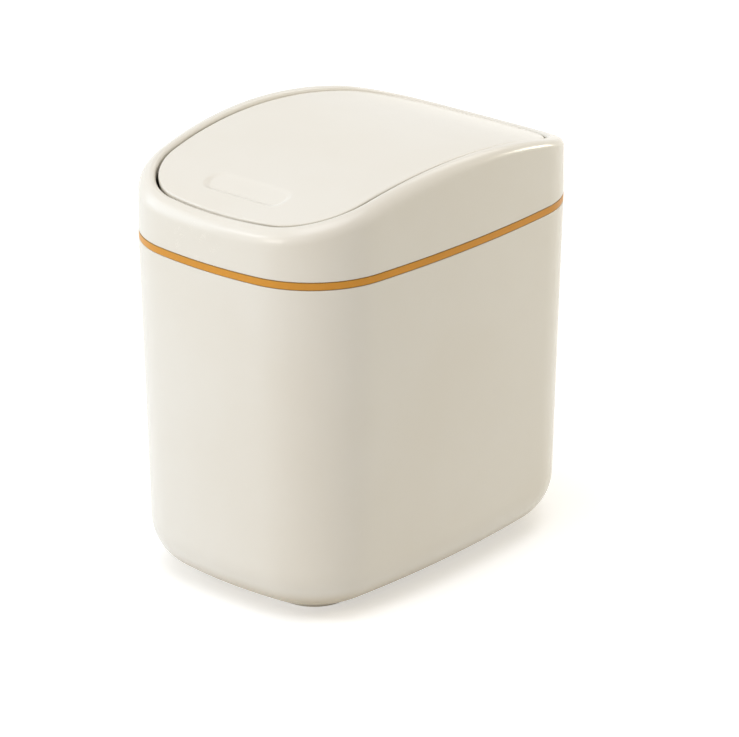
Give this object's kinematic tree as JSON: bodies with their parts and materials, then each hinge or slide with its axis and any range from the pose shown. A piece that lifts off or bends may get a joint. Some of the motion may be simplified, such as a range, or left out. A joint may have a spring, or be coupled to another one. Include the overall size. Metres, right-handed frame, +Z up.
{
  "type": "countertop trash can",
  "caption": "Small countertop trash can with a drafted tub, a coloured trim hoop, and a lift-off arched lid whose rocking flap swings both ways.",
  "frame": {"origin": "centre of the footprint, at the level of the surface that the can stands on", "axes": "+Z up, +X across the can, +Y along it towards the back; the press pad of the flap is at the -Y end"},
  "size_m": [0.112, 0.16, 0.165],
  "materials": {
    "tub_plastic": "smooth moulded cream plastic",
    "lid_plastic": "polished moulded cream plastic",
    "flap_plastic": "satin moulded cream plastic",
    "trim": "gold-orange coloured hoop, semi-gloss",
    "pin": "natural acetal"
  },
  "bodies": {
    "bin": {"bin_body": "tub_plastic"},
    "lid": {"lid_frame": "lid_plastic", "trim_band": "trim"},
    "flap": {"swing_flap": "flap_plastic", "pivot_pin_left": "pin", "pivot_pin_right": "pin"}
  },
  "joints": [
    {"name": "lid_lift", "type": "slide", "parent": "bin", "child": "lid", "axis": [0, 0, 1], "range_m": [0, 0.06]},
    {"name": "flap_swing", "type": "hinge", "parent": "lid", "child": "flap", "pos_m": [0, 0, 0.1596], "axis": [1, 0, 0], "range_deg": [-70, 70]}
  ]
}
